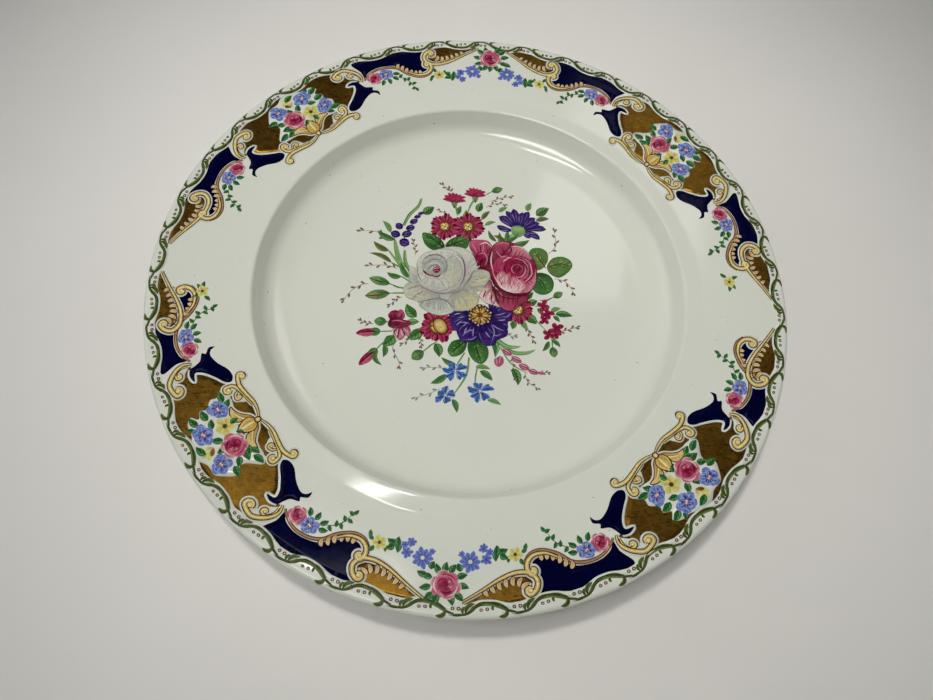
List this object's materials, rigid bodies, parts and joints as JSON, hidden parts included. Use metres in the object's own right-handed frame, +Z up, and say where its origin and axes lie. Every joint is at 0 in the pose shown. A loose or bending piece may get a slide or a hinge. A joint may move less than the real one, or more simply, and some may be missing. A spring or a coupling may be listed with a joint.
{
  "type": "dinner plate",
  "caption": "Round porcelain dinner plate with a wide sloping rim, a flat well and a foot ring, decorated with enamel flowers, cobalt panels and gilding",
  "frame": {"origin": "centre of the foot ring's seat, on the surface the plate stands on", "axes": "+Z is up along the plate's axis, +Y points to the upper rose garland and +X to the right of the pattern"},
  "size_m": [0.265, 0.265, 0.0221],
  "materials": {
    "porcelain_body": "hard-paste porcelain, matt and slightly rough on the bare foot seat",
    "clear_glaze": "clear glossy feldspar glaze over white porcelain, drawn opaque",
    "gold_corner_panels": "burnished gilding with fine wiping scratches",
    "gold_wedges": "burnished gilding with fine wiping scratches",
    "cobalt_panels": "deep cobalt blue enamel, glossy",
    "cobalt_bells": "deep cobalt blue enamel, glossy",
    "bracket_scrolls": "cream yellow enamel with brown outlines",
    "c_scrolls": "cream yellow enamel with brown outlines",
    "arch_bands": "brown enamel band",
    "shell_scrolls": "cream yellow enamel with brown outlines",
    "corner_buds": "yellow enamel shaded with brown",
    "leaf_border": "dark olive green enamel",
    "gilt_beads": "small raised gilt dots",
    "corner_roses": "pink enamel, shaded petals",
    "corner_blue_flowers": "blue enamel, shaded petals",
    "corner_yellow_flowers": "yellow enamel, shaded petals",
    "corner_leaves": "green enamel, shaded leaves",
    "drop_roses": "pink enamel, shaded petals",
    "drop_blue_flowers": "blue enamel, shaded petals",
    "drop_leaves": "green enamel, shaded leaves",
    "garland_roses": "pink enamel, shaded petals",
    "garland_asters": "blue enamel, shaded petals",
    "garland_leaves": "green enamel, shaded leaves",
    "yellow_flowers": "yellow enamel, shaded petals",
    "yellow_flower_leaves": "green enamel, shaded leaves",
    "white_rose": "white and grey enamel with a crimson heart",
    "pink_rose": "pink and crimson enamel, shaded petals",
    "purple_anemone": "purple enamel with a yellow centre",
    "crimson_flowers": "crimson enamel with yellow centres",
    "purple_aster": "purple enamel, fine petals",
    "grape_hyacinth": "blue violet enamel beads",
    "blue_cornflowers": "blue enamel, fine petals",
    "rosebuds": "pink enamel, shaded buds",
    "bouquet_leaves": "green enamel, shaded leaves",
    "heather_sprig": "pink enamel dots on a fine stem"
  },
  "bodies": {
    "root": {"porcelain_body": "porcelain_body", "clear_glaze": "clear_glaze", "gold_corner_panels": "gold_corner_panels", "gold_wedges": "gold_wedges", "cobalt_panels": "cobalt_panels", "cobalt_bells": "cobalt_bells", "bracket_scrolls": "bracket_scrolls", "c_scrolls": "c_scrolls", "arch_bands": "arch_bands", "shell_scrolls": "shell_scrolls", "corner_buds": "corner_buds", "leaf_border": "leaf_border", "gilt_beads": "gilt_beads", "corner_roses": "corner_roses", "corner_blue_flowers": "corner_blue_flowers", "corner_yellow_flowers": "corner_yellow_flowers", "corner_leaves": "corner_leaves", "drop_roses": "drop_roses", "drop_blue_flowers": "drop_blue_flowers", "drop_leaves": "drop_leaves", "garland_roses": "garland_roses", "garland_asters": "garland_asters", "garland_leaves": "garland_leaves", "yellow_flowers": "yellow_flowers", "yellow_flower_leaves": "yellow_flower_leaves", "white_rose": "white_rose", "pink_rose": "pink_rose", "purple_anemone": "purple_anemone", "crimson_flowers": "crimson_flowers", "purple_aster": "purple_aster", "grape_hyacinth": "grape_hyacinth", "blue_cornflowers": "blue_cornflowers", "rosebuds": "rosebuds", "bouquet_leaves": "bouquet_leaves", "heather_sprig": "heather_sprig"}
  },
  "joints": []
}
